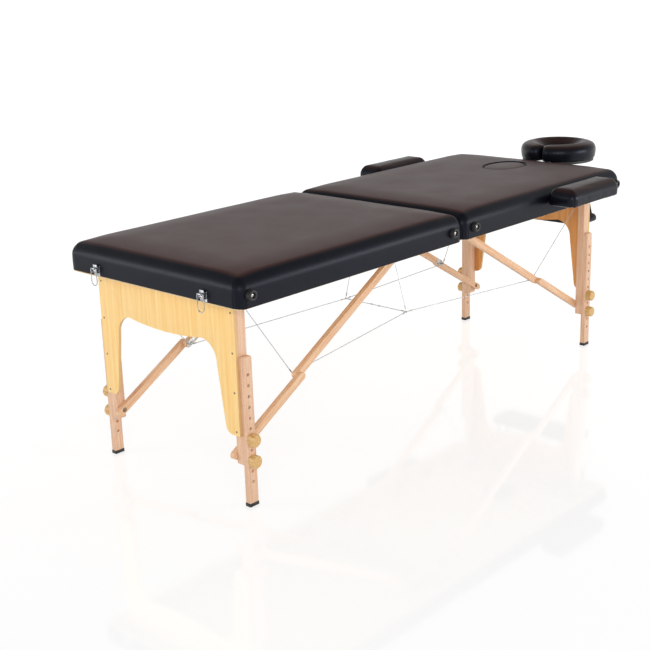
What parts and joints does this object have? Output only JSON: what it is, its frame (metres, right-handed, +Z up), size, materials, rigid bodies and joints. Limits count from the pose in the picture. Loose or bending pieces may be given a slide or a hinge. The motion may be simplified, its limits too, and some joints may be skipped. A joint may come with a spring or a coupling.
{
  "type": "folding massage table",
  "caption": "Two-section padded massage table on braced wooden folding legs, with sliding height extensions, face cradle, side armrests and hanging arm shelf.",
  "frame": {"origin": "middle of the outline at floor level, with the cradle and latches counted in the outline", "axes": "+X along the table to the head end and the face cradle, +Y to the left side with the carry handle, +Z up"},
  "size_m": [2.1567, 0.914, 0.699],
  "materials": {
    "upholstery_top": "satin vinyl, warm dark grey",
    "upholstery_side": "satin vinyl, dark",
    "frame_wood": "bare plywood and rails",
    "leg_wood": "clear-lacquered beech",
    "panel_ply": "clear-lacquered ply, upright grain",
    "brace_wood": "clear-lacquered beech",
    "knob_wood": "clear-lacquered, golden",
    "rubber": "black",
    "steel": "zinc plated",
    "latch_chrome": "bright nickel",
    "webbing": "woven strap"
  },
  "bodies": {
    "foot_half": {"foot_cushion": "upholstery_top", "foot_skirt": "upholstery_side", "foot_deck": "frame_wood", "foot_rails": "frame_wood", "foot_pivot_bolts": "steel", "foot_hinges": "steel", "foot_bumpers": "rubber", "carry_handle": "webbing", "latch_plates": "latch_chrome", "foot_wires": "steel"},
    "head_half": {"head_cushion": "upholstery_top", "head_skirt": "upholstery_side", "head_deck": "frame_wood", "head_rails": "frame_wood", "head_pivot_bolts": "steel", "head_hinges": "steel", "head_bumpers": "rubber", "latch_hooks": "latch_chrome", "head_wires": "steel"},
    "plug": {"face_plug": "upholstery_top"},
    "foot_leg_frame": {"foot_inner_legs": "leg_wood", "foot_end_panel": "panel_ply", "foot_leg_fasteners": "steel"},
    "foot_lower_brace_pair": {"foot_lower_braces": "brace_wood"},
    "foot_upper_brace_pair": {"foot_upper_braces": "brace_wood", "foot_knee_plates": "steel"},
    "extension_foot_right": {"leg_extension_foot_right": "leg_wood", "rubber_cap_foot_right": "rubber"},
    "knob_low_foot_right": {"lower_knob_foot_right": "knob_wood"},
    "knob_high_foot_right": {"upper_knob_foot_right": "knob_wood"},
    "extension_foot_left": {"leg_extension_foot_left": "leg_wood", "rubber_cap_foot_left": "rubber"},
    "knob_low_foot_left": {"lower_knob_foot_left": "knob_wood"},
    "knob_high_foot_left": {"upper_knob_foot_left": "knob_wood"},
    "head_leg_frame": {"head_inner_legs": "leg_wood", "head_end_panel": "panel_ply", "head_leg_fasteners": "steel"},
    "head_lower_brace_pair": {"head_lower_braces": "brace_wood"},
    "head_upper_brace_pair": {"head_upper_braces": "brace_wood", "head_knee_plates": "steel"},
    "extension_head_right": {"leg_extension_head_right": "leg_wood", "rubber_cap_head_right": "rubber"},
    "knob_low_head_right": {"lower_knob_head_right": "knob_wood"},
    "knob_high_head_right": {"upper_knob_head_right": "knob_wood"},
    "extension_head_left": {"leg_extension_head_left": "leg_wood", "rubber_cap_head_left": "rubber"},
    "knob_low_head_left": {"lower_knob_head_left": "knob_wood"},
    "knob_high_head_left": {"upper_knob_head_left": "knob_wood"},
    "lever_right": {"latch_lever_right": "latch_chrome"},
    "loop_right": {"latch_loop_right": "latch_chrome"},
    "armrest_right": {"armrest_cushion_right": "upholstery_top", "armrest_board_right": "frame_wood"},
    "lever_left": {"latch_lever_left": "latch_chrome"},
    "loop_left": {"latch_loop_left": "latch_chrome"},
    "armrest_left": {"armrest_cushion_left": "upholstery_top", "armrest_board_left": "frame_wood"},
    "cradle_frame": {"cradle_rods": "steel"},
    "cradle_head": {"cradle_cushion": "upholstery_top", "cradle_board": "frame_wood"},
    "shelf": {"arm_shelf": "upholstery_top"}
  },
  "joints": [
    {"name": "suitcase_fold", "type": "hinge", "parent": "foot_half", "child": "head_half", "pos_m": [-0.13775, 0, 0.564], "axis": [0, 1, 0], "range_deg": [0, 180], "deforming": ["foot_wires", "head_wires"]},
    {"name": "foot_leg_fold", "type": "hinge", "parent": "foot_half", "child": "foot_leg_frame", "pos_m": [-0.99575, 0, 0.592], "axis": [0, -1, 0], "range_deg": [0, 90.8]},
    {"name": "foot_lower_brace_fold", "type": "hinge", "parent": "foot_leg_frame", "child": "foot_lower_brace_pair", "pos_m": [-0.99575, 0, 0.146], "axis": [0, -1, 0], "range_deg": [0, 57.83]},
    {"name": "foot_upper_brace_fold", "type": "hinge", "parent": "foot_half", "child": "foot_upper_brace_pair", "pos_m": [-0.22775, 0, 0.591], "axis": [0, 1, 0], "range_deg": [0, 31.38]},
    {"name": "head_leg_fold", "type": "hinge", "parent": "head_half", "child": "head_leg_frame", "pos_m": [0.72025, 0, 0.592], "axis": [0, 1, 0], "range_deg": [0, 90.8]},
    {"name": "head_lower_brace_fold", "type": "hinge", "parent": "head_leg_frame", "child": "head_lower_brace_pair", "pos_m": [0.72025, 0, 0.146], "axis": [0, 1, 0], "range_deg": [0, 57.83]},
    {"name": "head_upper_brace_fold", "type": "hinge", "parent": "head_half", "child": "head_upper_brace_pair", "pos_m": [-0.04775, 0, 0.591], "axis": [0, -1, 0], "range_deg": [0, 31.38]},
    {"name": "height_foot_right", "type": "slide", "parent": "foot_leg_frame", "child": "extension_foot_right", "axis": [0, 0, 1], "range_m": [-0.12, 0.06]},
    {"name": "knob_low_turn_foot_right", "type": "hinge", "parent": "foot_leg_frame", "child": "knob_low_foot_right", "pos_m": [-0.99575, -0.3064, 0.13], "axis": [0, -1, 0], "continuous": true},
    {"name": "knob_high_turn_foot_right", "type": "hinge", "parent": "foot_leg_frame", "child": "knob_high_foot_right", "pos_m": [-0.99575, -0.3064, 0.19], "axis": [0, -1, 0], "continuous": true},
    {"name": "height_foot_left", "type": "slide", "parent": "foot_leg_frame", "child": "extension_foot_left", "axis": [0, 0, 1], "range_m": [-0.12, 0.06]},
    {"name": "knob_low_turn_foot_left", "type": "hinge", "parent": "foot_leg_frame", "child": "knob_low_foot_left", "pos_m": [-0.99575, 0.3064, 0.13], "axis": [0, 1, 0], "continuous": true},
    {"name": "knob_high_turn_foot_left", "type": "hinge", "parent": "foot_leg_frame", "child": "knob_high_foot_left", "pos_m": [-0.99575, 0.3064, 0.19], "axis": [0, 1, 0], "continuous": true},
    {"name": "height_head_right", "type": "slide", "parent": "head_leg_frame", "child": "extension_head_right", "axis": [0, 0, 1], "range_m": [-0.12, 0.06]},
    {"name": "knob_low_turn_head_right", "type": "hinge", "parent": "head_leg_frame", "child": "knob_low_head_right", "pos_m": [0.72025, -0.2864, 0.13], "axis": [0, -1, 0], "continuous": true},
    {"name": "knob_high_turn_head_right", "type": "hinge", "parent": "head_leg_frame", "child": "knob_high_head_right", "pos_m": [0.72025, -0.2864, 0.19], "axis": [0, -1, 0], "continuous": true},
    {"name": "height_head_left", "type": "slide", "parent": "head_leg_frame", "child": "extension_head_left", "axis": [0, 0, 1], "range_m": [-0.12, 0.06]},
    {"name": "knob_low_turn_head_left", "type": "hinge", "parent": "head_leg_frame", "child": "knob_low_head_left", "pos_m": [0.72025, 0.2864, 0.13], "axis": [0, 1, 0], "continuous": true},
    {"name": "knob_high_turn_head_left", "type": "hinge", "parent": "head_leg_frame", "child": "knob_high_head_left", "pos_m": [0.72025, 0.2864, 0.19], "axis": [0, 1, 0], "continuous": true},
    {"name": "latch_lever_right", "type": "hinge", "parent": "foot_half", "child": "lever_right", "pos_m": [-1.06925, -0.22, 0.584], "axis": [0, -1, 0], "range_deg": [0, 120]},
    {"name": "latch_loop_right", "type": "hinge", "parent": "lever_right", "child": "loop_right", "pos_m": [-1.07525, -0.22, 0.591], "axis": [0, -1, 0], "range_deg": [-120, 0]},
    {"name": "armrest_slide_right", "type": "slide", "parent": "head_half", "child": "armrest_right", "axis": [0, -1, 0], "range_m": [0, 0.12]},
    {"name": "latch_lever_left", "type": "hinge", "parent": "foot_half", "child": "lever_left", "pos_m": [-1.06925, 0.22, 0.584], "axis": [0, -1, 0], "range_deg": [0, 120]},
    {"name": "latch_loop_left", "type": "hinge", "parent": "lever_left", "child": "loop_left", "pos_m": [-1.07525, 0.22, 0.591], "axis": [0, -1, 0], "range_deg": [-120, 0]},
    {"name": "armrest_slide_left", "type": "slide", "parent": "head_half", "child": "armrest_left", "axis": [0, 1, 0], "range_m": [0, 0.12]},
    {"name": "face_plug_lift", "type": "slide", "parent": "head_half", "child": "plug", "axis": [0, 0, 1], "range_m": [0, 0.1]},
    {"name": "cradle_slide", "type": "slide", "parent": "head_half", "child": "cradle_frame", "axis": [1, 0, 0], "range_m": [0, 0.12]},
    {"name": "cradle_tilt", "type": "hinge", "parent": "cradle_frame", "child": "cradle_head", "pos_m": [0.82025, 0, 0.62], "axis": [0, 1, 0], "range_deg": [-5, 35]},
    {"name": "shelf_swing", "type": "hinge", "parent": "cradle_frame", "child": "shelf", "pos_m": [0.85525, 0, 0.568], "axis": [0, -1, 0], "range_deg": [-12, 30]}
  ],
  "couplings": [
    {"joint": "foot_leg_fold", "follows": "suitcase_fold", "ratio": 0.50444},
    {"joint": "foot_lower_brace_fold", "follows": "suitcase_fold", "ratio": 0.32125},
    {"joint": "foot_upper_brace_fold", "follows": "suitcase_fold", "ratio": 0.1743},
    {"joint": "head_leg_fold", "follows": "suitcase_fold", "ratio": 0.50444},
    {"joint": "head_lower_brace_fold", "follows": "suitcase_fold", "ratio": 0.32125},
    {"joint": "head_upper_brace_fold", "follows": "suitcase_fold", "ratio": 0.1743},
    {"joint": "latch_loop_right", "follows": "latch_lever_right", "ratio": -1},
    {"joint": "latch_loop_left", "follows": "latch_lever_left", "ratio": -1}
  ]
}
